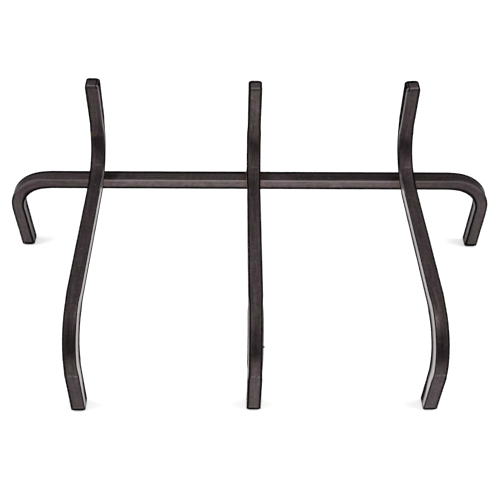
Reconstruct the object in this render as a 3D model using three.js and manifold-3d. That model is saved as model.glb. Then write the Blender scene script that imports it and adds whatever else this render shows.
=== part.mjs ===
// Fireplace log grate: three bars of square steel, each bent up at the back and down at the front,
// stand on one long cross bar whose ends are bent down as rear legs. Weld beads hold the crossings.
// Millimetres, +Z up, +X along the cross bar, -Y towards the front of the hearth.
// The origin lies on the floor below the middle of the grate.
import * as THREE from 'three';
import { mergeVertices } from 'three/addons/utils/BufferGeometryUtils.js';
import Module from 'manifold-3d';

// ---------------------------------------------------------------- driving dimensions
const BAR = 12.7; // side of the square bar that everything is bent from
const BAR_CORNER = 0.6; // radius of the bar's rolled corners
const EDGE_BREAK = 1.2; // bevel ground round each cut end
const SEAM = 0.3; // clearance kept where two pieces touch

const CROSS_BEND = 35; // centreline radius of the cross bar's bends
const CROSS_LEG = 53.5; // straight leg below each of its bends
const CROSS_STRAIGHT = 401.4; // straight length between its bends

const LOG_BEND = 40; // centreline radius of the log bars' bends
const UPRIGHT_ANGLE = 94; // degrees that the back of a log bar turns up
const UPRIGHT_STRAIGHT = 50; // straight length above that bend
const LEVEL_RUN = 145.2; // level length between a log bar's two bends

// The bars were bent and set by eye, so each log bar has its own place:
//   x         where it crosses, from the middle of the cross bar
//   crossing  how far the cross bar's centreline lies behind the start of the rear bend
//   front     degrees that its front turns down
//   turn      degrees that it is turned about the upright axis, front end to the right
//   tilt      degrees that it leans sideways, top to the right
const LOG_BARS = [
  { name: 'left', x: -148.1, crossing: 18.8, front: 89.6, turn: 0.4, tilt: 2.8 },
  { name: 'middle', x: 3.9, crossing: 20.9, front: 94, turn: 0.9, tilt: 1.2 },
  { name: 'right', x: 152.2, crossing: 20.4, front: 94, turn: 2.2, tilt: -1.6 },
];

// Beads lie in the corner between a log bar and the top of the cross bar; side is -1 for left and
// +1 for right, and leg is how far the bead reaches out beside the log bar.
const WELDS = [
  { name: 'weld_left_bar', bar: 'left', side: -1, leg: 2.3 },
  { name: 'weld_middle_bar_left', bar: 'middle', side: -1, leg: 1.8 },
  { name: 'weld_middle_bar_right', bar: 'middle', side: 1, leg: 2.0 },
  { name: 'weld_right_bar', bar: 'right', side: 1, leg: 2.5 },
];
const WELD_FRONT = -5; // first puddle's centre, from the cross bar's centreline
const WELD_BACK = 4.4; // last puddle's centre
const WELD_ROOT = 0.8; // how far in below the log bar's side the puddles have their centres
const WELD_HEIGHT = 2.1; // half height of a puddle where the two bars touch
const WELD_PUDDLES = 6;

// ---------------------------------------------------------------- facets
const BEND_STEPS = 20; // rings round a bend
const CORNER_STEPS = 1; // curve segments per rolled corner
const PUDDLE_SIDES = 16; // facets round a puddle of weld

// ---------------------------------------------------------------- worked-out dimensions
const CROSS_HEIGHT = CROSS_LEG + CROSS_BEND; // centreline of the cross bar above the floor
const CROSS_TOP = CROSS_HEIGHT + BAR / 2;
const UNDERSIDE_BEND = LOG_BEND + BAR / 2; // radius of a log bar's underside in its rear bend
const FLOOR_ALLOWANCE = 6; // extra leg, which the cut at the floor takes off

const degrees = THREE.MathUtils.degToRad;

const steel = new THREE.MeshStandardMaterial({ color: '#3b3536', roughness: 0.42, metalness: 0.55 });
const weldMetal = new THREE.MeshStandardMaterial({ color: '#40362f', roughness: 0.6, metalness: 0.5 });

// ---------------------------------------------------------------- the bar's centreline
/** Straight runs and round bends that follow each other in one upright plane. */
class BentLine extends THREE.Curve {
  /**
   * @param {THREE.Vector3} along the plane's level axis
   * @param {number} heading direction of the first run, in degrees above that axis
   * @param {Array} runs each { straight } or { bend, radius }, in mm and degrees
   */
  constructor(along, heading, runs) {
    super();
    this.along = along;
    this.places = [new THREE.Vector2(0, 0)];
    this.headings = [degrees(heading)];
    for (const run of runs) {
      if (run.straight) this.step(run.straight, 0);
      else this.turn(run.radius, degrees(run.bend));
    }
  }

  get rings() {
    return this.places.length - 1;
  }

  /** One chord, with half of the turn before it and half after it. */
  step(length, turned) {
    const last = this.headings[this.rings];
    const chord = new THREE.Vector2(length, 0).rotateAround(new THREE.Vector2(), last + turned / 2);
    this.places.push(this.places[this.rings].clone().add(chord));
    this.headings.push(last + turned);
  }

  turn(radius, angle) {
    const turned = angle / BEND_STEPS;
    const chord = 2 * radius * Math.sin(Math.abs(turned) / 2);
    for (let i = 0; i < BEND_STEPS; i += 1) this.step(chord, turned);
  }

  /** Moves the line so that ring `index` comes to the given place. */
  moveRing(index, level, height) {
    const shift = new THREE.Vector2(level, height).sub(this.places[index]);
    this.places.forEach((place) => place.add(shift));
    return this;
  }

  lift(place) {
    return this.along.clone().multiplyScalar(place.x).setZ(place.y);
  }

  getPoint(t) {
    const ring = Math.min(Math.floor(t * this.rings), this.rings - 1);
    const part = t * this.rings - ring;
    return this.lift(this.places[ring].clone().lerp(this.places[ring + 1], part));
  }

  // Rings stand at the ends of the runs and round the bends, not at even distances.
  getPointAt(u) {
    return this.getPoint(u);
  }

  getTangentAt(u) {
    const heading = this.headings[Math.round(u * this.rings)];
    return this.lift(new THREE.Vector2(Math.cos(heading), Math.sin(heading)));
  }
}

/** The cross bar: up the left leg, across, and down the right leg. */
function crossLine() {
  const line = new BentLine(new THREE.Vector3(1, 0, 0), 90, [
    { straight: CROSS_LEG + FLOOR_ALLOWANCE },
    { bend: -90, radius: CROSS_BEND },
    { straight: CROSS_STRAIGHT },
    { bend: -90, radius: CROSS_BEND },
    { straight: CROSS_LEG + FLOOR_ALLOWANCE },
  ]);
  return line.moveRing(1 + BEND_STEPS, -CROSS_STRAIGHT / 2, CROSS_HEIGHT);
}

/** A log bar: down the upright, forward along the level run, and down to the foot. */
function logLine(bar) {
  const line = new BentLine(new THREE.Vector3(0, 1, 0), 180 + UPRIGHT_ANGLE, [
    { straight: UPRIGHT_STRAIGHT },
    { bend: -UPRIGHT_ANGLE, radius: LOG_BEND },
    { straight: LEVEL_RUN },
    { bend: bar.front, radius: LOG_BEND },
    { straight: levelHeight(bar) - LOG_BEND + FLOOR_ALLOWANCE },
  ]);
  return line.moveRing(1 + BEND_STEPS, -bar.crossing, 0);
}

/** How far a log bar's underside has risen in its rear bend, at y from the cross bar's centre. */
function undersideRise(bar, y) {
  const intoBend = Math.max(bar.crossing + y, 0);
  return UNDERSIDE_BEND - Math.sqrt(UNDERSIDE_BEND ** 2 - intoBend ** 2);
}

/** Centreline height of a log bar that rests on the front top edge of the cross bar. */
function levelHeight(bar) {
  const tiltRoom = (BAR / 2) * Math.sin(degrees(Math.abs(bar.tilt)));
  return CROSS_TOP + SEAM + tiltRoom - undersideRise(bar, -BAR / 2) + BAR / 2;
}

// ---------------------------------------------------------------- solids
function roundedSquare(side, corner) {
  const reach = side / 2 - corner;
  const shape = new THREE.Shape();
  for (let quarter = 0; quarter < 4; quarter += 1) {
    const start = (quarter * Math.PI) / 2;
    const centre = new THREE.Vector2(reach, reach).rotateAround(new THREE.Vector2(), start);
    shape.absarc(centre.x, centre.y, corner, start, start + Math.PI / 2);
  }
  shape.closePath();
  return shape;
}

/** Bar stock along a bent line; oversize adds clearance all round, for cutting neighbours. */
function bentBar(line, oversize = 0) {
  const section = roundedSquare(BAR + 2 * oversize, BAR_CORNER + oversize);
  return new THREE.ExtrudeGeometry(section, {
    steps: line.rings,
    curveSegments: CORNER_STEPS,
    extrudePath: line,
  });
}

const wasm = await Module();
wasm.setup();

function toSolid(geometry, matrix = new THREE.Matrix4()) {
  const bare = geometry.clone().applyMatrix4(matrix);
  bare.deleteAttribute('normal');
  bare.deleteAttribute('uv');
  const merged = mergeVertices(bare, 1e-4);
  return new wasm.Manifold(new wasm.Mesh({
    numProp: 3,
    vertProperties: new Float32Array(merged.attributes.position.array),
    triVerts: new Uint32Array(merged.index.array),
  }));
}

function toGeometry(solid) {
  const { vertProperties, triVerts } = solid.getMesh();
  const geometry = new THREE.BufferGeometry();
  geometry.setAttribute('position', new THREE.BufferAttribute(vertProperties, 3));
  geometry.setIndex(new THREE.BufferAttribute(triVerts, 1));
  const faceted = geometry.toNonIndexed();
  faceted.computeVertexNormals();
  return faceted;
}

/**
 * Tool that cuts a bar off square at z = 0 and bevels the edges of the new end.
 * The bar stands above the cut; the tool is a block with a square tapered pocket.
 */
function endTool() {
  const block = new THREE.BoxGeometry(2 * BAR, 2 * BAR, FLOOR_ALLOWANCE * 2);
  block.translate(0, 0, EDGE_BREAK - FLOOR_ALLOWANCE);
  const across = (side) => side * Math.SQRT1_2; // corner radius of a square prism
  const depth = 2 * EDGE_BREAK;
  const pocket = new THREE.CylinderGeometry(across(BAR + depth), across(BAR - depth), depth, 4);
  pocket.rotateY(Math.PI / 4).rotateX(Math.PI / 2).translate(0, 0, depth / 2);
  return toSolid(block).subtract(toSolid(pocket));
}

/** The end tool, moved to where a bar ends: inward points into the bar, sideways along its side. */
function endToolAt(position, inward, sideways) {
  const third = inward.clone().cross(sideways);
  const matrix = new THREE.Matrix4().makeBasis(sideways, third, inward).setPosition(position);
  return endTool().transform(matrix.elements);
}

/** Where the line's end at parameter t comes through the floor, in the mesh's parent. */
function floorPoint(line, t, matrix) {
  const end = line.getPointAt(t).applyMatrix4(matrix);
  const direction = line.getTangentAt(t).transformDirection(matrix);
  return end.addScaledVector(direction, -end.z / direction.z);
}

/** Subtracts tools given in the parent's frame from a placed mesh, and keeps its placing. */
function cutMesh(mesh, tools) {
  mesh.updateMatrix();
  let solid = toSolid(mesh.geometry, mesh.matrix);
  for (const tool of tools) solid = solid.subtract(tool);
  mesh.geometry = toGeometry(solid).applyMatrix4(mesh.matrix.clone().invert());
  return mesh;
}

const UP = new THREE.Vector3(0, 0, 1);
const RIGHT = new THREE.Vector3(1, 0, 0);

// ---------------------------------------------------------------- pieces
function makeCrossBar() {
  const line = crossLine();
  const mesh = new THREE.Mesh(bentBar(line), steel.clone());
  mesh.name = 'cross_bar';
  mesh.updateMatrix();
  const feet = [0, 1].map((t) => endToolAt(floorPoint(line, t, mesh.matrix), UP, RIGHT));
  return cutMesh(mesh, feet);
}

/** Stands a mesh, modelled about the crossing, where the log bar crosses. */
function placeAtCrossing(mesh, bar, height) {
  mesh.position.set(bar.x, 0, height);
  mesh.rotation.set(0, degrees(bar.tilt), degrees(bar.turn), 'ZYX');
  mesh.updateMatrix();
  return mesh;
}

function makeLogBar(bar) {
  const line = logLine(bar);
  const mesh = new THREE.Mesh(bentBar(line), steel.clone());
  mesh.name = `log_bar_${bar.name}`;
  placeAtCrossing(mesh, bar, levelHeight(bar));
  const tip = line.getPointAt(0).applyMatrix4(mesh.matrix);
  const downward = line.getTangentAt(0).transformDirection(mesh.matrix);
  const side = RIGHT.clone().transformDirection(mesh.matrix);
  const foot = floorPoint(line, 1, mesh.matrix);
  const footSide = RIGHT.clone().applyAxisAngle(UP, degrees(bar.turn));
  return cutMesh(mesh, [endToolAt(tip, downward, side), endToolAt(foot, UP, footSide)]);
}

/**
 * A bead of overlapping puddles in the corner between a log bar's side and the cross bar's top.
 * Towards the back it draws in below the log bar, and fills the wedge under the rising bend.
 */
function makeWeld(weld) {
  const bar = LOG_BARS.find((one) => one.name === weld.bar);
  const seat = undersideRise(bar, -BAR / 2);
  const pitch = (WELD_BACK - WELD_FRONT) / (WELD_PUDDLES - 1);
  const puddles = [];
  for (let i = 0; i < WELD_PUDDLES; i += 1) {
    const y = WELD_FRONT + i * pitch;
    const wedge = undersideRise(bar, y) - seat;
    const drawnIn = THREE.MathUtils.smoothstep(y, WELD_FRONT / 3, WELD_BACK);
    const reach = WELD_ROOT + weld.leg * (1 - 0.5 * drawnIn);
    const puddle = new THREE.SphereGeometry(1, PUDDLE_SIDES, PUDDLE_SIDES / 2);
    puddle.scale(reach, 0.8 * pitch, WELD_HEIGHT + 0.5 * wedge);
    puddle.translate(weld.side * (BAR / 2 - WELD_ROOT), y, 0.35 * wedge);
    puddles.push(toSolid(puddle));
  }
  const mesh = new THREE.Mesh(toGeometry(wasm.Manifold.union(puddles)), weldMetal.clone());
  mesh.name = weld.name;
  placeAtCrossing(mesh, bar, CROSS_TOP);
  const line = logLine(bar);
  const barBody = placeAtCrossing(new THREE.Mesh(bentBar(line, SEAM)), bar, levelHeight(bar));
  const crossBody = bentBar(crossLine(), SEAM);
  return cutMesh(mesh, [toSolid(barBody.geometry, barBody.matrix), toSolid(crossBody)]);
}

// ---------------------------------------------------------------- assembly
const assembly = new THREE.Group();
assembly.add(makeCrossBar());
LOG_BARS.forEach((bar) => assembly.add(makeLogBar(bar)));
WELDS.forEach((weld) => assembly.add(makeWeld(weld)));

// The footprint's middle goes to the origin.
const footprint = new THREE.Box3().setFromObject(assembly).getCenter(new THREE.Vector3());
assembly.position.set(-footprint.x, -footprint.y, 0);

const grate = new THREE.Group();
grate.name = 'log_grate';
grate.add(assembly);
grate.updateMatrixWorld(true);

export default grate;
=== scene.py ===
"""Log grate: the finished look of three bent log bars, the cross bar under them and their welds."""

import math
import random

import bmesh
import bpy
from mathutils import Matrix, Vector, noise


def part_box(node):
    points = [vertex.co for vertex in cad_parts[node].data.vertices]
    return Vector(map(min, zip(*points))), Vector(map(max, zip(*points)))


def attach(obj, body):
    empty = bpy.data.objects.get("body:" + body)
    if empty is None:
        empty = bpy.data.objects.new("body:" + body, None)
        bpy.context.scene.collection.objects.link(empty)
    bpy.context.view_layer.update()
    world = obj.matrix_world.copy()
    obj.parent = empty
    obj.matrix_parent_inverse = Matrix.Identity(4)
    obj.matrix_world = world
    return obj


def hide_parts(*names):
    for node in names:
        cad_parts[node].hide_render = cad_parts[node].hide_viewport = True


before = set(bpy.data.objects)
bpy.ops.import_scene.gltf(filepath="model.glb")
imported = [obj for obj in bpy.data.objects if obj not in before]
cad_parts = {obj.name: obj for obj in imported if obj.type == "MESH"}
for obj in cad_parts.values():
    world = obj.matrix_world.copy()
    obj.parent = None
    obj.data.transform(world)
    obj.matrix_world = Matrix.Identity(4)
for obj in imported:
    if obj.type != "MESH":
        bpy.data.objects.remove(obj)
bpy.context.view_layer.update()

MM = 0.001
BODY = "root"

# ------------------------------------------------------------------ sizes
cross_low, cross_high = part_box("cross_bar")
BAR = cross_high.y - cross_low.y  # side of the square bar
BAR_CORNER = 0.6 * MM  # radius of the bar's rolled corners
END_ROUNDING = 1.4 * MM  # ground off each side round a cut end
END_HEIGHT = 2.6 * MM  # and how far back from the end that begins
END_CORNER = 3.6 * MM  # radius of the end face's own corners
SEAM = 0.3 * MM  # clearance between a log bar and the cross bar
FLOOR_ALLOWANCE = 6 * MM  # extra leg, which the cut at the floor takes off

CROSS_BEND = 35 * MM  # centreline radius of the cross bar's bends
CROSS_MIDDLE = (cross_low + cross_high) / 2
CROSS_HEIGHT = cross_high.z - BAR / 2
CROSS_LEG = CROSS_HEIGHT - CROSS_BEND
CROSS_STRAIGHT = cross_high.x - cross_low.x - BAR - 2 * CROSS_BEND
CROSS_BENT = math.pi * CROSS_BEND
CROSS_STOCK = CROSS_STRAIGHT + CROSS_BENT + 2 * (CROSS_LEG + FLOOR_ALLOWANCE)  # before bending
CROSS_PAINTED_LIGHT_LEVEL = 0.9  # how much its colour is painted darker, for the light it gets

LOG_BEND = 40 * MM
UPRIGHT_ANGLE = 94  # degrees that the back of a log bar turns up
UPRIGHT_STRAIGHT = 50 * MM
LEVEL_RUN = 145.2 * MM
UNDERSIDE_BEND = LOG_BEND + BAR / 2

# For each log bar: where it crosses, how far behind the start of its rear bend, how many degrees
# its front turns down, how it was set turned and leaning, how far from its upper end the bending
# tool left its mark, and its painted light level: colour painted lighter above 1 and darker below 1,
# for the light it gets.
LOG_BARS = {
    "left": {
        "x": -148.1 * MM, "crossing": 18.8 * MM, "front": 89.6, "turn": 0.4, "tilt": 2.8,
        "pressed": 326.5 * MM, "painted_light_level": 0.82,
    },
    "middle": {
        "x": 3.9 * MM, "crossing": 20.9 * MM, "front": 94, "turn": 0.9, "tilt": 1.2,
        "pressed": 322 * MM, "painted_light_level": 1.12,
    },
    "right": {
        "x": 152.2 * MM, "crossing": 20.4 * MM, "front": 94, "turn": 2.2, "tilt": -1.6,
        "pressed": 320 * MM, "painted_light_level": 0.92,
    },
}

# Beads lie in the corner between a log bar and the top of the cross bar; side is -1 for left and
# +1 for right, and leg is how far the bead reaches out beside the log bar.
WELDS = {
    "weld_left_bar": {"bar": "left", "side": -1, "leg": 2.3 * MM},
    "weld_middle_bar_left": {"bar": "middle", "side": -1, "leg": 1.8 * MM},
    "weld_middle_bar_right": {"bar": "middle", "side": 1, "leg": 2.0 * MM},
    "weld_right_bar": {"bar": "right", "side": 1, "leg": 2.5 * MM},
}
WELD_FRONT = -5 * MM
WELD_BACK = 4.4 * MM
WELD_ROOT = 0.8 * MM  # how far in below the log bar's side the puddles have their centres
WELD_HEIGHT = 2.1 * MM  # half height of a puddle where the two bars touch
PUDDLE_PITCH = 1.05 * MM  # from one ripple to the next
PUDDLE_LENGTH = 1.35 * PUDDLE_PITCH  # half length, so that the puddles overlap
PUDDLE_LEGS = (0.86, 1.06)  # shortest and longest leg, as a share of the weld's own
PUDDLE_LEANS = (15, 28)  # degrees
LEG_LOSS = 0.5  # share of the leg that the bead loses towards the back
WEDGE_GROWTH = 0.5  # shares of the opening between the bars by which a puddle grows and rises
WEDGE_RISE = 0.35

# Droplets that the welding threw out.
SPATTER_DROPS = 6  # on each side of a crossing
SPATTER_START = 1.5 * MM  # away from the log bar's side
SPATTER_SPREAD = 3 * MM
SPATTER_SIZES = (0.25, 0.65)  # mm
SPATTER_ON_FRONT = 0.7  # share of them; the rest lie on top
SPATTER_FLATNESS = 0.9
STRAY_DROP = Vector((13.4, -109.3, 86.5)) * MM  # one that stuck to the side of the middle bar
STRAY_SIZE = 0.8 * MM

# ------------------------------------------------------------------ mesh fineness
FACE_CUTS = 7  # vertices across a flat of the bar, between its corners
CORNER_STEPS = 4
RING_PITCH = 1.2 * MM
END_STEPS = 6
WELD_VOXEL = 0.2 * MM

# ------------------------------------------------------------------ how bending marked the bar
BEND_SPREAD = 0.6  # widening of a bend's inside, as a share of the stretch there
BEND_CROWN = 0.25 * MM  # bulge of the inside face and hollow of the outside one
UNEVEN = 0.07 * MM
UNEVEN_LENGTH = 14 * MM


def ease(t):
    """0 to 1 with a soft start and end."""
    t = min(max(t, 0.0), 1.0)
    return t * t * (3 - 2 * t)


def rounded_share(stock, corner):
    """How far a point of the bar's square outline moves in when the corners get the given radius."""
    flat = BAR / 2 - corner
    beyond = Vector((abs(stock.x) - flat, abs(stock.y) - flat))
    if min(beyond) <= 0:
        return 1.0
    rounded = Vector((flat, flat)) + beyond.normalized() * corner
    return min(rounded.length / Vector((abs(stock.x), abs(stock.y))).length, 1.0)


class BentBar:
    """Square bar, pushed out and bent run by run in the plane x = 0.

    The stock layer keeps each vertex's place on the straight bar: across, through and along it.
    """

    def __init__(self, heading):
        self.mesh = bmesh.new()
        self.stock = self.mesh.verts.layers.float_vector.new("stock")
        self.heading = math.radians(heading)
        self.place = Vector()
        self.along = 0.0
        self.bends = []
        self.start = self.end = self.make_section()

    def make_section(self):
        """One face with rounded corners, square to the heading."""
        square = bmesh.ops.create_circle(
            self.mesh, cap_ends=True, segments=4, radius=BAR / math.sqrt(2),
        )
        turned = Matrix.Rotation(math.radians(45), 3, "Z")
        bmesh.ops.rotate(self.mesh, verts=square["verts"], cent=(0, 0, 0), matrix=turned)
        bmesh.ops.bevel(
            self.mesh, geom=square["verts"], offset=BAR_CORNER, offset_type="OFFSET",
            affect="VERTICES", segments=CORNER_STEPS, profile=0.5, material=-1,
        )
        flats = [e for e in self.mesh.edges if e.calc_length() > BAR / 2]
        bmesh.ops.subdivide_edges(self.mesh, edges=flats, cuts=FACE_CUTS)
        flat = BAR / 2 - BAR_CORNER
        for v in self.mesh.verts:
            for axis in (0, 1):
                if abs(v.co[axis]) < flat:
                    v.co[axis] = flat * math.sin(v.co[axis] / flat * math.pi / 2)
            v[self.stock] = v.co
        facing = Matrix.Rotation(self.heading - math.pi / 2, 3, "X")
        bmesh.ops.rotate(self.mesh, verts=self.mesh.verts, cent=(0, 0, 0), matrix=facing)
        return self.mesh.faces[:][0]

    def direction(self):
        return Vector((0, math.cos(self.heading), math.sin(self.heading)))

    def leftward(self):
        return Vector((0, -math.sin(self.heading), math.cos(self.heading)))

    def ring(self):
        return [self.end, *self.end.edges, *self.end.verts]

    def push(self, length):
        """A straight run."""
        grown = bmesh.ops.extrude_face_region(self.mesh, geom=self.ring())["geom"]
        self.end = next(g for g in grown if isinstance(g, bmesh.types.BMFace))
        bmesh.ops.translate(self.mesh, verts=self.end.verts, vec=self.direction() * length)
        self.place += self.direction() * length
        self.along += length
        for v in self.end.verts:
            v[self.stock] = (*v[self.stock][:2], self.along)
        lengthwise = {e for v in self.end.verts for e in v.link_edges} - set(self.end.edges)
        cuts = round(length / RING_PITCH) - 1
        bmesh.ops.subdivide_edges(self.mesh, edges=list(lengthwise), cuts=cuts)

    def bend(self, angle, radius):
        """A round bend; a positive angle turns left, seen with the bar's across axis to the viewer."""
        turned = math.radians(angle)
        side = math.copysign(radius, turned)
        centre = self.place + self.leftward() * side
        length = radius * abs(turned)
        known = set(self.mesh.verts)
        grown = bmesh.ops.spin(
            self.mesh, geom=self.ring(), cent=centre, axis=(1, 0, 0), angle=turned,
            steps=round(length / RING_PITCH),
        )["geom_last"]
        self.end = next(g for g in grown if isinstance(g, bmesh.types.BMFace))
        started = (self.place - centre).yz
        for v in set(self.mesh.verts) - known:
            swept = abs(started.angle_signed((v.co - centre).yz))
            v[self.stock] = (*v[self.stock][:2], self.along + radius * swept)
        self.bends.append((self.along, self.along + length, 1 / side))
        self.along += length
        self.heading += turned
        self.place = centre - self.leftward() * side

    def curl_at(self, along):
        """How tightly the bar is bent there, running out softly past each bend's ends."""
        curl = 0.0
        for start, end, tightness in self.bends:
            curl += tightness * ease(min(along - start, end - along) / BAR + 0.5)
        return curl

    def work_surface(self, seed):
        """Spreads and crowns the bends and leaves the flats a little uneven."""
        self.mesh.normal_update()
        offset = Vector((seed * 7.3, 0, 0))
        for v in self.mesh.verts:
            across, through, along = v[self.stock]
            strain = self.curl_at(along) * through
            crown = 1 - min(abs(across) / (BAR / 2), 1) ** 2
            reach = -strain * LOG_BEND / (BAR / 2) * crown * BEND_CROWN
            wave = noise.noise(v[self.stock] / UNEVEN_LENGTH + offset) * UNEVEN
            v.co += v.normal * (reach * (abs(v.normal.x) < 0.5) + wave)
            v.co.x *= 1 - BEND_SPREAD * strain

    def round_end(self, cap):
        """Rounds the edge of a cut end, outwards from the given cap."""
        outward = cap.normal.copy()
        centre = cap.calc_center_bounds()
        rim = [(v.co - centre, v[self.stock].copy()) for v in cap.verts]
        for step in range(1, END_STEPS + 1):
            angle = math.pi / 2 * step / END_STEPS
            shrink = 1 - END_ROUNDING * (1 - math.cos(angle)) / (BAR / 2)
            corner = BAR_CORNER + (END_CORNER - BAR_CORNER) * math.sin(angle)
            raised = centre + outward * END_HEIGHT * math.sin(angle)
            ring = [cap, *cap.edges, *cap.verts]
            grown = bmesh.ops.extrude_face_region(self.mesh, geom=ring)["geom"]
            cap = next(g for g in grown if isinstance(g, bmesh.types.BMFace))
            for v, (offset, stock) in zip(cap.verts, rim):
                v.co = raised + offset * shrink * rounded_share(stock, corner)
                v[self.stock] = (stock.x * shrink, stock.y * shrink, stock.z)

    def cut_at_floor(self):
        """Cuts what stands below the floor and rounds the new feet."""
        cut = bmesh.ops.bisect_plane(
            self.mesh, geom=[*self.mesh.verts, *self.mesh.edges, *self.mesh.faces],
            plane_co=(0, 0, END_HEIGHT), plane_no=(0, 0, -1), clear_outer=True,
        )
        rim = [g for g in cut["geom_cut"] if isinstance(g, bmesh.types.BMEdge)]
        feet = bmesh.ops.edgenet_fill(self.mesh, edges=rim)["faces"]
        bmesh.ops.recalc_face_normals(self.mesh, faces=self.mesh.faces)
        for foot in feet:
            self.round_end(foot)

    def move(self, matrix):
        bmesh.ops.transform(self.mesh, matrix=matrix, verts=self.mesh.verts)


def make_piece(name, mesh, node=None):
    """Turns a bmesh into a smooth object that rides on the grate."""
    data = bpy.data.meshes.new(name)
    mesh.to_mesh(data)
    mesh.free()
    data.shade_smooth()
    piece = bpy.data.objects.new(name, data)
    bpy.context.scene.collection.objects.link(piece)
    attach(piece, BODY)
    if node:
        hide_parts(node)
    return piece


def make_cross_bar():
    bar = BentBar(heading=90)
    bar.push(CROSS_LEG + FLOOR_ALLOWANCE)
    bar.bend(-90, CROSS_BEND)
    crossing_from = bar.place.copy()
    bar.push(CROSS_STRAIGHT)
    bar.bend(-90, CROSS_BEND)
    bar.push(CROSS_LEG + FLOOR_ALLOWANCE)
    bar.work_surface(seed=1)
    bar.move(Matrix.Translation(-crossing_from))
    bar.move(Matrix.Rotation(math.radians(-90), 4, "Z"))
    start = Vector((CROSS_MIDDLE.x - CROSS_STRAIGHT / 2, CROSS_MIDDLE.y, CROSS_HEIGHT))
    bar.move(Matrix.Translation(start))
    bar.cut_at_floor()
    return make_piece("steel_cross_bar", bar.mesh, "cross_bar")


def underside_rise(bar, y):
    """How far a log bar's underside has risen in its rear bend, at y from the cross bar's centre."""
    into_bend = max(bar["crossing"] + y, 0)
    return UNDERSIDE_BEND - math.sqrt(UNDERSIDE_BEND**2 - into_bend**2)


def level_height(bar):
    """Centreline height of a log bar that rests on the front top edge of the cross bar."""
    tilt_room = BAR / 2 * math.sin(math.radians(abs(bar["tilt"])))
    return CROSS_HEIGHT + BAR + SEAM + tilt_room - underside_rise(bar, -BAR / 2)


def crossing_matrix(bar, height):
    place = Matrix.Translation((CROSS_MIDDLE.x + bar["x"], CROSS_MIDDLE.y, height))
    turn = Matrix.Rotation(math.radians(bar["turn"]), 4, "Z")
    return place @ turn @ Matrix.Rotation(math.radians(bar["tilt"]), 4, "Y")


def make_log_bar(name, seed):
    settings = LOG_BARS[name]
    height = level_height(settings)
    bar = BentBar(heading=180 + UPRIGHT_ANGLE)
    bar.push(UPRIGHT_STRAIGHT - END_HEIGHT)
    bar.bend(-UPRIGHT_ANGLE, LOG_BEND)
    level_start = bar.place.copy()
    bar.push(LEVEL_RUN)
    bar.bend(settings["front"], LOG_BEND)
    bar.push(height - LOG_BEND + FLOOR_ALLOWANCE)
    bmesh.ops.recalc_face_normals(bar.mesh, faces=bar.mesh.faces)
    bar.work_surface(seed)
    bar.round_end(bar.start)
    bar.move(Matrix.Translation(Vector((0, -settings["crossing"], 0)) - level_start))
    bar.move(crossing_matrix(settings, height))
    bar.cut_at_floor()
    return make_piece(f"steel_log_bar_{name}", bar.mesh, f"log_bar_{name}")


def make_weld(name, seed):
    """A rippled bead in the corner between a log bar and the cross bar.

    Towards the back it draws in below the log bar, where the rear bend rises off the cross bar.
    """
    weld = WELDS[name]
    settings = LOG_BARS[weld["bar"]]
    chance = random.Random(seed)
    seat = underside_rise(settings, -BAR / 2)
    mesh = bmesh.new()
    count = round((WELD_BACK - WELD_FRONT) / PUDDLE_PITCH)
    for i in range(count + 1):
        y = WELD_FRONT + (WELD_BACK - WELD_FRONT) * i / count
        wedge = underside_rise(settings, y) - seat
        drawn_in = ease((y - WELD_FRONT / 3) / (WELD_BACK - WELD_FRONT / 3))
        leg = weld["leg"] * (1 - LEG_LOSS * drawn_in) * chance.uniform(*PUDDLE_LEGS)
        size = (WELD_ROOT + leg, PUDDLE_LENGTH, WELD_HEIGHT + WEDGE_GROWTH * wedge)
        middle = Vector((weld["side"] * (BAR / 2 - WELD_ROOT), y, WEDGE_RISE * wedge))
        lean = Matrix.Rotation(math.radians(chance.uniform(*PUDDLE_LEANS)), 4, "X")
        puddle = Matrix.Translation(middle) @ lean @ Matrix.Diagonal((*size, 1))
        bmesh.ops.create_icosphere(mesh, subdivisions=3, radius=1, matrix=puddle)
    matrix = crossing_matrix(settings, CROSS_HEIGHT + BAR / 2)
    bmesh.ops.transform(mesh, matrix=matrix, verts=mesh.verts)
    bead = make_piece(f"bead_{name}", mesh, name)
    fuse = bead.modifiers.new("fuse", "REMESH")
    fuse.mode = "VOXEL"
    fuse.voxel_size = WELD_VOXEL
    fuse.use_smooth_shade = True
    soften = bead.modifiers.new("soften", "SMOOTH")
    soften.factor = 0.5
    soften.iterations = 2
    return bead


def make_spatter(seed):
    """Droplets that the welding threw on the top and front of the cross bar."""
    chance = random.Random(seed)
    drops = [(STRAY_DROP, STRAY_SIZE)]
    for bar in LOG_BARS.values():
        for side in (-1, 1):
            edge = CROSS_MIDDLE.x + bar["x"] + side * BAR / 2
            for _ in range(SPATTER_DROPS):
                x = edge + side * (SPATTER_START + chance.expovariate(1) * SPATTER_SPREAD)
                size = chance.uniform(*SPATTER_SIZES) * MM
                inward = chance.uniform(1, BAR / MM - 1) * MM
                if chance.random() < SPATTER_ON_FRONT:
                    drops.append((Vector((x, cross_low.y, cross_high.z - inward)), size))
                else:
                    drops.append((Vector((x, cross_low.y + inward, cross_high.z)), size))
    mesh = bmesh.new()
    for place, size in drops:
        drop = Matrix.Translation(place) @ Matrix.Diagonal((size, size, size * SPATTER_FLATNESS, 1))
        bmesh.ops.create_icosphere(mesh, subdivisions=2, radius=1, matrix=drop)
    return make_piece("weld_spatter", mesh)


cross_bar = make_cross_bar()
log_bars = [make_log_bar(name, seed) for seed, name in enumerate(LOG_BARS, start=2)]
welds = [make_weld(name, seed) for seed, name in enumerate(WELDS, start=11)]
spatter = make_spatter(seed=21)

# ------------------------------------------------------------------ camera
CAMERA_PLACE = Vector((4.3, -498.05, 620.44)) * MM
CAMERA_DOWN = 47.01  # degrees below level
CAMERA_TURN = 0.352  # degrees to the left of straight ahead
CAMERA_LENS = 57.39

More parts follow.
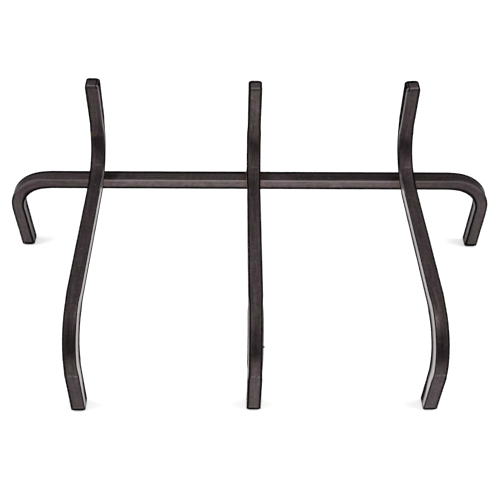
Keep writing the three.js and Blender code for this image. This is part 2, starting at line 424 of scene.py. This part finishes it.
camera = bpy.data.objects.new("camera", bpy.data.cameras.new("camera"))
bpy.context.scene.collection.objects.link(camera)
camera.location = CAMERA_PLACE
camera.rotation_euler = (math.radians(90 - CAMERA_DOWN), 0, math.radians(CAMERA_TURN))
camera.data.sensor_width = 36
camera.data.lens = CAMERA_LENS
bpy.context.scene.camera = camera

# ------------------------------------------------------------------ materials
def add(tree, kind, inputs=None, **settings):
    """Adds a node; each input is set to a value or linked from another node's socket."""
    node = tree.nodes.new(kind)
    for name, value in settings.items():
        setattr(node, name, value)
    for name, value in (inputs or {}).items():
        if isinstance(value, bpy.types.NodeSocket):
            tree.links.new(value, node.inputs[name])
        else:
            node.inputs[name].default_value = value
    return node


def new_material(name):
    material = bpy.data.materials.new(name)
    material.use_nodes = True
    material.node_tree.nodes.clear()
    return material


def finish_material(material, shader):
    tree = material.node_tree
    add(tree, "ShaderNodeOutputMaterial", {"Surface": shader})
    return material


def maths(tree, operation, *values):
    return add(tree, "ShaderNodeMath", dict(enumerate(values)), operation=operation).outputs[0]


def mix(tree, share, first, second):
    """The first colour, with the second over it where share is 1."""
    node = add(tree, "ShaderNodeMix", data_type="RGBA")
    for index, value in ((0, share), (6, first), (7, second)):
        if isinstance(value, bpy.types.NodeSocket):
            tree.links.new(value, node.inputs[index])
        else:
            node.inputs[index].default_value = value
    return node.outputs[2]


def ramp(tree, value, start, end, low=0.0, high=1.0):
    """Low up to start, high from end on, and a soft step between them."""
    return add(tree, "ShaderNodeMapRange", {
        "Value": value, "From Min": start, "From Max": end, "To Min": low, "To Max": high,
    }, interpolation_type="SMOOTHSTEP").outputs["Result"]


def start_group(name, inputs, output):
    """A node group with one output; inputs gives each input's kind and usual value."""
    group = bpy.data.node_groups.new(name, "ShaderNodeTree")
    for label, (kind, usual) in inputs.items():
        socket = group.interface.new_socket(label, in_out="INPUT", socket_type=f"NodeSocket{kind}")
        socket.default_value = usual
    group.interface.new_socket(output, in_out="OUTPUT", socket_type="NodeSocketFloat")
    return group, group.nodes.new("NodeGroupInput").outputs


def end_group(group, value):
    group.links.new(value, group.nodes.new("NodeGroupOutput").inputs[0])
    return group


def use(tree, group, **inputs):
    return add(tree, "ShaderNodeGroup", inputs, node_tree=group).outputs[0]


VECTOR = ("Vector", (0, 0, 0))


def in_units_of(tree, place, size):
    """Place, measured in the given size."""
    inverse = maths(tree, "DIVIDE", 1.0, size)
    return add(tree, "ShaderNodeVectorMath", {
        0: place, "Scale": inverse,
    }, operation="SCALE").outputs[0]


BAND_FADE = (0.6, 1.25)  # a corner band fades out between these shares of its widths
SCUFF_PATCH = 16 * MM  # size of the patches that hold scratches
RAGGEDNESS = 3 * MM  # size of the notches in the edge of a patch


def corner_band_group():
    """A band along the corner where both Across and Through are highest."""
    group, given = start_group("corner_band", {
        "Across": ("Float", 0), "Through": ("Float", 0),
        "Over": ("Float", 0.001), "Down": ("Float", 0.001),
    }, "Band")
    over = maths(group, "DIVIDE", maths(group, "SUBTRACT", BAR / 2, given["Across"]), given["Over"])
    down = maths(group, "DIVIDE", maths(group, "SUBTRACT", BAR / 2, given["Through"]), given["Down"])
    return end_group(group, ramp(group, maths(group, "MAXIMUM", over, down), *BAND_FADE, 1.0, 0.0))


def drawn_lines_group():
    """Fine uneven lines that run along a bar, left by the rolls and the die."""
    group, given = start_group("drawn_lines", {
        "Stock": VECTOR, "Pitch": ("Float", 0.001), "Length": ("Float", 0.03),
    }, "Lines")
    pitch = maths(group, "DIVIDE", 1.0, given["Pitch"])
    length = maths(group, "DIVIDE", 1.0, given["Length"])
    shares = add(group, "ShaderNodeCombineXYZ", {"X": pitch, "Y": pitch, "Z": length}).outputs[0]
    place = add(group, "ShaderNodeVectorMath", {0: given["Stock"], 1: shares}, operation="MULTIPLY")
    lines = add(group, "ShaderNodeTexNoise", {
        "Vector": place.outputs[0], "Scale": 1.0, "Detail": 3.0, "Roughness": 0.6,
    })
    return end_group(group, lines.outputs["Fac"])


def blotch_group():
    """Soft-edged patches; a higher level leaves fewer of them."""
    group, given = start_group("blotches", {
        "Place": VECTOR, "Size": ("Float", 0.01), "Level": ("Float", 0.5), "Fade": ("Float", 0.1),
    }, "Blotches")
    cloud = add(group, "ShaderNodeTexNoise", {
        "Vector": in_units_of(group, given["Place"], given["Size"]),
        "Scale": 1.0, "Detail": 3.0, "Roughness": 0.55,
    }).outputs["Fac"]
    end = maths(group, "ADD", given["Level"], given["Fade"])
    return end_group(group, ramp(group, cloud, given["Level"], end))


def fleck_group():
    """Small separate specks, such as chips in the finish."""
    group, given = start_group("flecks", {
        "Place": VECTOR, "Spacing": ("Float", 0.004),
        "Radius": ("Float", 0.2), "Share": ("Float", 0.5),
    }, "Flecks")
    cells = add(group, "ShaderNodeTexVoronoi", {
        "Vector": in_units_of(group, given["Place"], given["Spacing"]), "Scale": 1.0,
    })
    chance = add(group, "ShaderNodeSeparateColor", {0: cells.outputs["Color"]}).outputs
    kept = maths(group, "LESS_THAN", chance["Red"], given["Share"])
    reach = maths(group, "MULTIPLY", given["Radius"], chance["Green"])
    inner = maths(group, "MULTIPLY", reach, 0.6)
    speck = ramp(group, cells.outputs["Distance"], inner, reach, low=1.0, high=0.0)
    return end_group(group, maths(group, "MULTIPLY", speck, kept))


def scuff_group():
    """Thin broken scratches; stretch says how they lie."""
    group, given = start_group("scuffs", {
        "Place": VECTOR, "Stretch": ("Vector", (1, 1, 1)),
        "Width": ("Float", 0.01), "Level": ("Float", 0.6),
    }, "Scuffs")
    place = add(group, "ShaderNodeVectorMath", {
        0: given["Place"], 1: given["Stretch"],
    }, operation="MULTIPLY").outputs[0]
    field = add(group, "ShaderNodeTexNoise", {
        "Vector": place, "Scale": 1.0, "Detail": 1.0,
    }).outputs["Fac"]
    off_line = maths(group, "ABSOLUTE", maths(group, "SUBTRACT", field, 0.5))
    line = ramp(group, off_line, 0.0, given["Width"], low=1.0, high=0.0)
    patches = add(group, "ShaderNodeTexNoise", {
        "Vector": in_units_of(group, given["Place"], SCUFF_PATCH), "Scale": 1.0, "Detail": 1.0,
    }).outputs["Fac"]
    beyond = maths(group, "ADD", given["Level"], 0.06)
    shown = ramp(group, patches, given["Level"], beyond)
    return end_group(group, maths(group, "MULTIPLY", line, shown))


def near_group():
    """A patch with a ragged edge around one place, such as a weld."""
    group, given = start_group("near_place", {
        "Place": VECTOR, "Centre": VECTOR, "Reach": ("Float", 0.01),
    }, "Near")
    distance = add(group, "ShaderNodeVectorMath", {
        0: given["Place"], 1: given["Centre"],
    }, operation="DISTANCE").outputs["Value"]
    ragged = add(group, "ShaderNodeTexNoise", {
        "Vector": in_units_of(group, given["Place"], RAGGEDNESS), "Scale": 1.0, "Detail": 3.0,
    }).outputs["Fac"]
    offset = maths(group, "MULTIPLY", maths(group, "SUBTRACT", ragged, 0.5), given["Reach"])
    uneven = maths(group, "ADD", distance, offset)
    inner = maths(group, "MULTIPLY", given["Reach"], 0.35)
    return end_group(group, ramp(group, uneven, inner, given["Reach"], low=1.0, high=0.0))


CORNER_BAND = corner_band_group()
DRAWN_LINES = drawn_lines_group()
BLOTCHES = blotch_group()
FLECKS = fleck_group()
SCUFFS = scuff_group()
NEAR = near_group()

PURPLE_BROWN = (0.138, 0.101, 0.111, 1)
OLIVE_BROWN = (0.130, 0.108, 0.086, 1)
CHARCOAL = (0.108, 0.101, 0.107, 1)
BURNT_BROWN = (0.140, 0.092, 0.066, 1)
# colour of the painted shade
PAINTED_SHADE_BLACK = (0.004, 0.003, 0.004, 1)
# colour of the painted highlights and reflections, and of bare metal
BARE_GREY_AND_HIGHLIGHT = (0.42, 0.38, 0.38, 1)
RUST = (0.3, 0.2, 0.07, 1)
OLIVE_SHARE = 0.7  # how strongly these patches cover the purple-brown
CHARCOAL_SHARE = 0.5
BURNT_SHARE = 0.8

# Distances along a log bar from its upper end; each pair is a soft limit.
TIP_END = (0, 0.8 * MM)
STRAIGHT_END = (50 * MM, 80 * MM)
UPRIGHT_END = (88 * MM, 108 * MM)
CROSSING_START = (98 * MM, 104 * MM)
CROSSING_END = (124 * MM, 132 * MM)
LEG_START = (335 * MM, 360 * MM)

# Heights above the floor.
# painted shade round the bottom of each foot fades out between these heights; a painted highlight line
# runs at the next
FOOT_SHADE_END = (4.2 * MM, 5.4 * MM)
FOOT_HIGHLIGHT_HEIGHT = 6.6 * MM

# How pale each painted highlight, painted reflection and bare place is, and how dark the upper ends
# and the painted ridge outline between the bends are made, as shares.
PALENESS_AND_HIGHLIGHT = {
    "painted_inner_side": 0.85, "painted_other_side": 0.3, "crossing_highlight": 0.9, "straight_highlight": 0.5,
    "tip_highlight": 0.6, "tip_corner_highlight": 0.4, "foot_highlight_line": 0.15,
    "cross_top_highlight": 0.3, "cross_lower_highlight": 0.5, "cross_leg": 0.11,
    "chips": 0.9, "scuffs": 0.3, "pressed_line": 0.6,
}
TIP_DARKENING = 0.3
RIDGE_SHADE = 0.55

# Marks that sit at a place of their own: a rusty chip on the outer corner of the left upright, painted
# shade on the right half of the cross bar's top, and dark spots on that top beside the log bars with
# their x and strength.
RUST_SPOT = {"centre": (-152.6 * MM, 107.2 * MM, 134 * MM), "reach": 5.5 * MM, "share": 0.28}
TOP_SHADE = {"start": 15 * MM, "end": 60 * MM, "share": 0.5}
DARK_SPOTS = {-137 * MM: 0.55, -118 * MM: 0.3, 13 * MM: 0.4, 132 * MM: 0.3}
DARK_SPOT_REACH = 11 * MM
WELD_ZONE_REACH = 17 * MM


def split(tree, vector):
    return add(tree, "ShaderNodeSeparateXYZ", {0: vector}).outputs


def opposite(tree, value):
    return maths(tree, "MULTIPLY", value, -1.0)


def without(tree, mask):
    """1 where the mask is 0."""
    return maths(tree, "SUBTRACT", 1.0, mask)


def joined(tree, *masks):
    """The highest of several masks."""
    highest = masks[0]
    for mask in masks[1:]:
        highest = maths(tree, "MAXIMUM", highest, mask)
    return highest


def product(tree, *shares):
    """Several masks or shares, multiplied."""
    result = shares[0]
    for share in shares[1:]:
        result = maths(tree, "MULTIPLY", result, share)
    return result


def window(tree, value, middle, width):
    """1 where value is within half the width of the middle, with soft sides."""
    off = maths(tree, "ABSOLUTE", maths(tree, "SUBTRACT", value, middle))
    return ramp(tree, off, 0.3 * width, 0.7 * width, 1.0, 0.0)


def band(tree, across, through, over, down):
    """A band along the corner where across and through are both highest.

    It is as wide as over on the face that through points to, and as down on the other face.
    """
    return use(tree, CORNER_BAND, Across=across, Through=through, Over=over, Down=down)


def weld_zone(tree, place):
    """Where the welding burnt the finish."""
    zones = []
    for settings in LOG_BARS.values():
        centre = (CROSS_MIDDLE.x + settings["x"], CROSS_MIDDLE.y, CROSS_HEIGHT + BAR / 2)
        zones.append(use(tree, NEAR, Place=place, Centre=centre, Reach=WELD_ZONE_REACH))
    return joined(tree, *zones)


def foot_painted_light(tree, place):
    """Painted shade on the rounded edge round a foot, and a painted highlight line just above it."""
    height = split(tree, place)["Z"]
    line = window(tree, height, FOOT_HIGHLIGHT_HEIGHT, 2.0 * MM)
    return ramp(tree, height, *FOOT_SHADE_END, 1.0, 0.0), product(tree, line, PALENESS_AND_HIGHLIGHT["foot_highlight_line"])


def log_bar_stretches(tree, along):
    """Masks of the stretches of a log bar, by the distance from its upper end."""
    from_crossing = ramp(tree, along, *CROSSING_START)
    return {
        "tip": ramp(tree, along, *TIP_END, 1.0, 0.0),
        "straight": ramp(tree, along, *STRAIGHT_END, 1.0, 0.0),
        "upright": ramp(tree, along, *UPRIGHT_END, 1.0, 0.0),
        "crossing": product(tree, from_crossing, ramp(tree, along, *CROSSING_END, 1.0, 0.0)),
        "leg": ramp(tree, along, *LEG_START),
    }


def painted_inner_side(tree, across, outer, on):
    """Painted dark outlines and shade, and painted highlights and reflections, on the side of a log
    bar that faces the middle of the grate.
    """
    # painted shade: a dark outline along the top face's edge, below the upright and away from the
    # crossing
    corner = band(tree, across, outer, over=1.1 * MM, down=0.5 * MM)
    # painted highlight along the top corner, at the crossing and on the upright's straight
    line = band(tree, across, outer, over=1.0 * MM, down=1.6 * MM)
    straight_highlight = product(tree, line, on["straight"])
    width = maths(tree, "MULTIPLY_ADD", on["leg"], 2.5 * MM, 5.5 * MM)
    width = maths(tree, "MULTIPLY_ADD", on["upright"], 14 * MM, width)
    # painted shade: a dark band up the side from its lower corner, widest on the upright
    back = band(tree, across, opposite(tree, outer), over=1.2 * MM, down=width)
    # painted reflection: a pale strip down the side from its top corner, below the upright
    side = band(tree, across, outer, over=0.2 * MM, down=6 * MM)
    below = without(tree, on["upright"])
    painted_shade = [
        product(tree, corner, below, without(tree, on["crossing"])),
        product(tree, back, without(tree, straight_highlight)),
        product(tree, on["tip"], window(tree, across, 4.3 * MM, 1.5 * MM)),
    ]
    painted_highlights = [
        product(tree, side, below, PALENESS_AND_HIGHLIGHT["painted_inner_side"]),
        product(tree, line, on["crossing"], PALENESS_AND_HIGHLIGHT["crossing_highlight"]),
        product(tree, straight_highlight, PALENESS_AND_HIGHLIGHT["straight_highlight"]),
        product(tree, on["tip"], ramp(tree, across, 5.0 * MM, 5.4 * MM), PALENESS_AND_HIGHLIGHT["tip_corner_highlight"]),
    ]
    return painted_shade, painted_highlights


def painted_other_side(tree, across, outer, on):
    """Painted dark outlines and shade, and a faint painted reflection, on any other side of a log bar.
    """
    # painted reflection: a faint pale strip down the side from its top corner
    side = band(tree, across, outer, over=0.2 * MM, down=6 * MM)
    # painted shade: a dark outline along the top face's edge, a dark band up the side from its lower
    # corner, and a dark line on the upper end
    painted_shade = [
        band(tree, across, outer, over=2.2 * MM, down=0.5 * MM),
        band(tree, across, opposite(tree, outer), over=1.2 * MM, down=8 * MM),
        product(tree, on["tip"], ramp(tree, across, 3.8 * MM, 4.8 * MM)),
    ]
    painted_highlights = [product(tree, side, without(tree, on["upright"]), PALENESS_AND_HIGHLIGHT["painted_other_side"])]
    return painted_shade, painted_highlights


def log_bar_painted_light(tree, parts, place, middle_side):
    """Masks of the painted dark outlines and shade, and of the painted highlights and reflections, on
    a log bar; it has no painted top shade.

    The side towards the middle of the grate, -1 for left and +1 for right, gets a brighter painted
    reflection.
    """
    outer = parts["Y"]
    on = log_bar_stretches(tree, parts["Z"])
    # painted highlight along the front edge of the upper end
    tip_highlight = window(tree, outer, 5.4 * MM, 1.0 * MM)
    # painted shade along the rear edge of the upper end
    tip_rim_shade = ramp(tree, opposite(tree, outer), 1.4 * MM, 2.2 * MM)
    foot_shade, foot_highlight = foot_painted_light(tree, place)
    # the upper end is also made a little darker all over
    painted_shade = [foot_shade, product(tree, on["tip"], tip_rim_shade), product(tree, on["tip"], TIP_DARKENING)]
    painted_highlights = [foot_highlight, product(tree, on["tip"], tip_highlight, PALENESS_AND_HIGHLIGHT["tip_highlight"])]
    for side in (-1, 1):
        across = maths(tree, "MULTIPLY", parts["X"], float(side))
        make_side = painted_inner_side if side == middle_side else painted_other_side
        side_shade, side_highlights = make_side(tree, across, outer, on)
        painted_shade += side_shade
        painted_highlights += side_highlights
    return joined(tree, *painted_shade), joined(tree, *painted_highlights), 0.0


def pressed_line(tree, parts, along):
    """A broken line across the outer face, where the bending tool let go of the bar."""
    line = window(tree, parts["Z"], along, 2.0 * MM)
    outer = ramp(tree, parts["Y"], BAR / 2 - 0.8 * MM, BAR / 2 - 0.4 * MM)
    across = add(tree, "ShaderNodeCombineXYZ", {"X": parts["X"]}).outputs[0]
    broken = add(tree, "ShaderNodeTexNoise", {
        "Vector": across, "Scale": 420.0, "Detail": 2.0,
    }).outputs["Fac"]
    return product(tree, line, outer, ramp(tree, broken, 0.42, 0.6))


def cross_bar_top_shade_and_spots(tree, place, outer):
    """Painted shade on the right half of the top, and dark spots on it beside the log bars."""
    top = ramp(tree, outer, BAR / 2 - 1.2 * MM, BAR / 2 - 0.3 * MM)
    right = ramp(tree, split(tree, place)["X"], TOP_SHADE["start"], TOP_SHADE["end"])
    # painted shade: the top darker towards the right
    top_shade_and_spots = [product(tree, right, TOP_SHADE["share"])]
    for x, share in DARK_SPOTS.items():
        centre = (x, CROSS_MIDDLE.y, cross_high.z)
        spot = use(tree, NEAR, Place=place, Centre=centre, Reach=DARK_SPOT_REACH)
        top_shade_and_spots.append(product(tree, spot, share))
    return product(tree, top, joined(tree, *top_shade_and_spots))


def cross_bar_painted_light(tree, parts, place):
    """Masks of the painted dark outlines, the painted highlights, and the painted top shade with dark
    spots, on the cross bar.

    The painted outline along its front top corner is fainter between the bends.
    """
    front, rear = parts["X"], opposite(tree, parts["X"])
    inner, outer = parts["Y"], opposite(tree, parts["Y"])
    from_middle = maths(tree, "ABSOLUTE", maths(tree, "SUBTRACT", parts["Z"], CROSS_STOCK / 2))
    half_straight = CROSS_STRAIGHT / 2
    bend = math.pi / 2 * CROSS_BEND
    on_leg = ramp(tree, from_middle, half_straight + 0.5 * bend, half_straight + 0.8 * bend)
    between = without(tree, on_leg)
    # painted shade: a dark outline along the front top corner, fainter between the bends
    thin_ridge_shade = band(tree, front, outer, over=0.9 * MM, down=0.1 * MM)
    full_ridge_shade = band(tree, front, outer, over=1.3 * MM, down=2.2 * MM)
    ridge_shade = maths(
        tree, "ADD", product(tree, thin_ridge_shade, between, RIDGE_SHADE), product(tree, full_ridge_shade, on_leg),
    )
    lower_width = maths(tree, "MULTIPLY_ADD", on_leg, -1.0 * MM, 3.4 * MM)
    foot_shade, foot_highlight = foot_painted_light(tree, place)
    # painted shade: dark outlines at the feet, along the lower front corner and along both rear
    # corners
    painted_shade = joined(
        tree, ridge_shade, foot_shade,
        band(tree, front, inner, over=0.4 * MM, down=lower_width),
        band(tree, rear, outer, over=4.6 * MM, down=1.3 * MM),
        band(tree, rear, inner, over=7 * MM, down=1.3 * MM),
    )
    # painted highlights along the front top corner between the bends and along the lower front corner;
    # the legs are made a little paler all over
    top_highlight = band(tree, front, outer, over=0.1 * MM, down=2.6 * MM)
    lower_highlight = band(tree, front, inner, over=6 * MM, down=0.2 * MM)
    painted_highlights = joined(
        tree, product(tree, top_highlight, between, PALENESS_AND_HIGHLIGHT["cross_top_highlight"]), foot_highlight,
        product(tree, lower_highlight, PALENESS_AND_HIGHLIGHT["cross_lower_highlight"]),
        product(tree, on_leg, PALENESS_AND_HIGHLIGHT["cross_leg"]),
    )
    return painted_shade, painted_highlights, cross_bar_top_shade_and_spots(tree, place, outer)


def make_bar_steel(name, painted_light_level, edges, press_marks=()):
    """Square bar with a thin satin brown-black finish; edges makes the masks of its painted shade,
    painted highlights and painted top shade.
    """
    material = new_material(name)
    tree = material.node_tree
    stock = add(tree, "ShaderNodeAttribute", attribute_name="stock").outputs["Vector"]
    place = add(tree, "ShaderNodeTexCoord").outputs["Object"]
    lines = use(tree, DRAWN_LINES, Stock=stock, Pitch=0.9 * MM, Length=34 * MM)
    fine_lines = use(tree, DRAWN_LINES, Stock=stock, Pitch=0.25 * MM, Length=9 * MM)
    olive = use(tree, BLOTCHES, Place=place, Size=18 * MM, Level=0.5, Fade=0.1)
    charcoal = use(tree, BLOTCHES, Place=place, Size=9 * MM, Level=0.52, Fade=0.1)
    mottle = use(tree, BLOTCHES, Place=place, Size=3.5 * MM, Level=0.35, Fade=0.3)
    burnt = product(tree, weld_zone(tree, place), BURNT_SHARE)
    chips = use(tree, FLECKS, Place=place, Spacing=6 * MM, Radius=0.16, Share=0.5)
    scuffs = use(tree, SCUFFS, Place=stock, Stretch=(60, 60, 420), Width=0.02, Level=0.55)
    rust = use(tree, NEAR, Place=place, Centre=RUST_SPOT["centre"], Reach=RUST_SPOT["reach"])
    parts = split(tree, stock)
    painted_shade, painted_highlights, top_shade_and_spots = edges(tree, parts, place)

    colour = mix(tree, product(tree, olive, OLIVE_SHARE), PURPLE_BROWN, OLIVE_BROWN)
    colour = mix(tree, product(tree, charcoal, CHARCOAL_SHARE), colour, CHARCOAL)
    colour = mix(tree, burnt, colour, BURNT_BROWN)
    # painted light: the bar's painted light level makes its whole colour lighter above 1 and darker
    # below 1, for the light it gets
    shade = product(
        tree, ramp(tree, lines, 0.3, 0.7, 0.7, 1.3), ramp(tree, fine_lines, 0.3, 0.7, 0.86, 1.14),
        ramp(tree, mottle, 0.0, 1.0, 0.88, 1.12), painted_light_level,
    )
    colour = add(tree, "ShaderNodeVectorMath", {
        0: colour, "Scale": shade,
    }, operation="SCALE").outputs[0]
    bare_and_highlights = [painted_highlights, product(tree, chips, PALENESS_AND_HIGHLIGHT["chips"]), product(tree, scuffs, PALENESS_AND_HIGHLIGHT["scuffs"])]
    for along in press_marks:
        bare_and_highlights.append(product(tree, pressed_line(tree, parts, along), PALENESS_AND_HIGHLIGHT["pressed_line"]))
    # painted highlights and reflections, with real bare metal at the chips, scuffs and pressed lines
    colour = mix(tree, joined(tree, *bare_and_highlights), colour, BARE_GREY_AND_HIGHLIGHT)
    # painted shade: dark outlines, the darker upper ends, the painted top shade and dark spots
    colour = mix(tree, joined(tree, painted_shade, top_shade_and_spots), colour, PAINTED_SHADE_BLACK)
    colour = mix(tree, product(tree, rust, RUST_SPOT["share"]), colour, RUST)

    rough = ramp(tree, lines, 0.25, 0.75, 0.28, 0.38)
    rough = maths(tree, "MULTIPLY_ADD", charcoal, 0.04, rough)
    rough = maths(tree, "MULTIPLY_ADD", burnt, 0.12, rough)
    rough = maths(tree, "MULTIPLY_ADD", painted_shade, 0.6, rough)

    height = maths(tree, "MULTIPLY_ADD", fine_lines, 0.3, product(tree, lines, 0.5))
    height = maths(tree, "MULTIPLY_ADD", chips, -0.8, height)
    height = maths(tree, "MULTIPLY_ADD", burnt, mottle, height)
    bump = add(tree, "ShaderNodeBump", {"Strength": 0.5, "Distance": 0.06 * MM, "Height": height})
    shader = add(tree, "ShaderNodeBsdfPrincipled", {
        "Base Color": colour, "Roughness": rough,
        "Metallic": maths(tree, "MULTIPLY_ADD", painted_shade, -0.95, 1.0),  # the painted shade is matte, so it reflects nothing
        "Specular IOR Level": 0.0, "Normal": bump.outputs[0],
    })
    return finish_material(material, shader.outputs["BSDF"])


def make_weld_metal():
    """Rippled weld metal, browned and mottled by the heat."""
    material = new_material("weld_metal")
    tree = material.node_tree
    place = add(tree, "ShaderNodeTexCoord").outputs["Object"]
    mottle = use(tree, BLOTCHES, Place=place, Size=1.6 * MM, Level=0.42, Fade=0.2)
    tint = use(tree, BLOTCHES, Place=place, Size=5 * MM, Level=0.45, Fade=0.2)
    specks = use(tree, FLECKS, Place=place, Spacing=1.2 * MM, Radius=0.35, Share=0.3)
    colour = mix(tree, mottle, BURNT_BROWN, PURPLE_BROWN)
    colour = mix(tree, product(tree, tint, 0.6), colour, OLIVE_BROWN)
    colour = mix(tree, product(tree, specks, 0.6), colour, BARE_GREY_AND_HIGHLIGHT)
    height = maths(tree, "MULTIPLY_ADD", specks, 0.5, mottle)
    bump = add(tree, "ShaderNodeBump", {"Strength": 0.5, "Distance": 0.1 * MM, "Height": height})
    shader = add(tree, "ShaderNodeBsdfPrincipled", {
        "Base Color": colour, "Roughness": ramp(tree, mottle, 0, 1, 0.35, 0.5), "Metallic": 1.0,
        "Normal": bump.outputs[0],
    })
    return finish_material(material, shader.outputs["BSDF"])


def dress(pieces, material):
    for piece in pieces:
        piece.data.materials.clear()
        piece.data.materials.append(material)


def log_bar_steel(name, middle_side):
    def edges(tree, parts, place):
        return log_bar_painted_light(tree, parts, place, middle_side)

    settings = LOG_BARS[name]
    marks = [settings["pressed"]]
    return make_bar_steel(f"{name}_bar_steel", settings["painted_light_level"], edges, press_marks=marks)


dress([cross_bar], make_bar_steel("cross_bar_steel", CROSS_PAINTED_LIGHT_LEVEL, cross_bar_painted_light))
for log_bar, name, middle_side in zip(log_bars, LOG_BARS, (1, 0, -1)):
    dress([log_bar], log_bar_steel(name, middle_side))
dress([*welds, spatter], make_weld_metal())

# ------------------------------------------------------------------ stage
FLOOR_RADIUS = 6
FLOOR_DROP = 0.2 * MM  # below the feet
POOL_FRONT = (-0.122, -0.108)  # painted pool of light: in the steel's reflections only, the paper glows brightest under the grate, between these lines
POOL_REAR = (0.25, 0.35)
POOL_SIDE = (0.15, 0.2)
PAINTED_POOL_GLOW = 0.5  # painted glow of the paper there
PAPER_END = 0.34  # in the steel's reflections only, the paper is painted dim from this far from the middle on, for a dark room
ROOM_START = 0.5
SKY_LOW = 0.2  # the sky that the steel mirrors, near the horizon and above
SKY_HIGH = 0.38
SKY_FRONT = 0.45  # how much of that is left overhead and in front
FLOOR_GLOW = 0.45  # what the camera sees of the floor beyond its lit colour
FADE_START = 0.9  # and further out that rises, until the floor meets the white sky
FADE_END = 2.5
LAMP_SIZE = 2.0
PALE = (0.9, 0.9, 0.9, 1)  # the paper, and in the steel's reflections the paper painted shaded around the pool and dim beyond it
SHADED = (0.62, 0.62, 0.62, 1)
DIM = (0.2, 0.2, 0.2, 1)


def make_floor():
    """White paper that keeps the shadow; in the steel's reflections only, it glows in a painted pool
    under the grate and is painted dim beyond, for a dark room.
    """
    mesh = bmesh.new()
    bmesh.ops.create_circle(mesh, cap_ends=True, segments=64, radius=FLOOR_RADIUS)
    data = bpy.data.meshes.new("floor")
    mesh.to_mesh(data)
    mesh.free()
    floor = bpy.data.objects.new("floor", data)
    bpy.context.scene.collection.objects.link(floor)
    floor.location.z = -FLOOR_DROP
    material = new_material("pale_floor")
    tree = material.node_tree
    path = add(tree, "ShaderNodeLightPath").outputs
    mirrored = joined(tree, path["Is Glossy Ray"], path["Is Transmission Ray"])
    place = add(tree, "ShaderNodeTexCoord").outputs["Object"]
    spot = split(tree, place)
    inside = product(
        tree, mirrored, ramp(tree, spot["Y"], *POOL_FRONT),
        ramp(tree, spot["Y"], *POOL_REAR, 1.0, 0.0),
        ramp(tree, maths(tree, "ABSOLUTE", spot["X"]), *POOL_SIDE, 1.0, 0.0),
    )
    outside = maths(tree, "SUBTRACT", mirrored, inside)
    distance = add(tree, "ShaderNodeVectorMath", {0: place}, operation="LENGTH").outputs["Value"]
    far = product(tree, mirrored, ramp(tree, distance, PAPER_END, ROOM_START))
    colour = mix(tree, far, mix(tree, outside, PALE, SHADED), DIM)
    paper = add(tree, "ShaderNodeBsdfDiffuse", {"Color": colour})
    seen = ramp(tree, distance, FADE_START, FADE_END, FLOOR_GLOW, 1.0)
    seen = product(tree, seen, path["Is Camera Ray"])
    glow = maths(tree, "MULTIPLY_ADD", inside, PAINTED_POOL_GLOW, seen)
    glow = add(tree, "ShaderNodeEmission", {"Color": (1, 1, 1, 1), "Strength": glow})
    shown = add(tree, "ShaderNodeAddShader", {0: paper.outputs[0], 1: glow.outputs[0]})
    finish_material(material, shown.outputs[0])
    data.materials.append(material)


def make_lamp(name, place, power):
    """A square softbox that points at the grate."""
    lamp = bpy.data.objects.new(name, bpy.data.lights.new(name, "AREA"))
    bpy.context.scene.collection.objects.link(lamp)
    lamp.data.shape = "SQUARE"
    lamp.data.size = LAMP_SIZE
    lamp.data.energy = power
    lamp.location = place
    lamp.rotation_euler = (-Vector(place)).to_track_quat("-Z", "Y").to_euler()


def make_world():
    """White to the camera; to the steel, dim near the horizon and in front, as in a large room."""
    world = bpy.data.worlds.new("studio")
    world.use_nodes = True
    tree = world.node_tree
    tree.nodes.clear()
    direction = add(tree, "ShaderNodeTexCoord").outputs["Generated"]
    towards = split(tree, direction)
    rising = ramp(tree, towards["Z"], 0.1, 0.6, SKY_LOW, SKY_HIGH)
    behind = ramp(tree, towards["Y"], 0.0, 0.6, SKY_FRONT, 1.0)
    seen = add(tree, "ShaderNodeLightPath").outputs["Is Camera Ray"]
    level = joined(tree, product(tree, rising, behind), seen)
    sky = add(tree, "ShaderNodeBackground", {"Color": (1, 1, 1, 1), "Strength": level})
    add(tree, "ShaderNodeOutputWorld", {"Surface": sky.outputs[0]})
    bpy.context.scene.world = world


make_floor()
make_world()
make_lamp("left_lamp", place=(-2.2, -0.2, 2.1), power=58)
make_lamp("right_lamp", place=(2.2, -0.2, 2.1), power=62)

bpy.context.scene.view_settings.view_transform = "Standard"
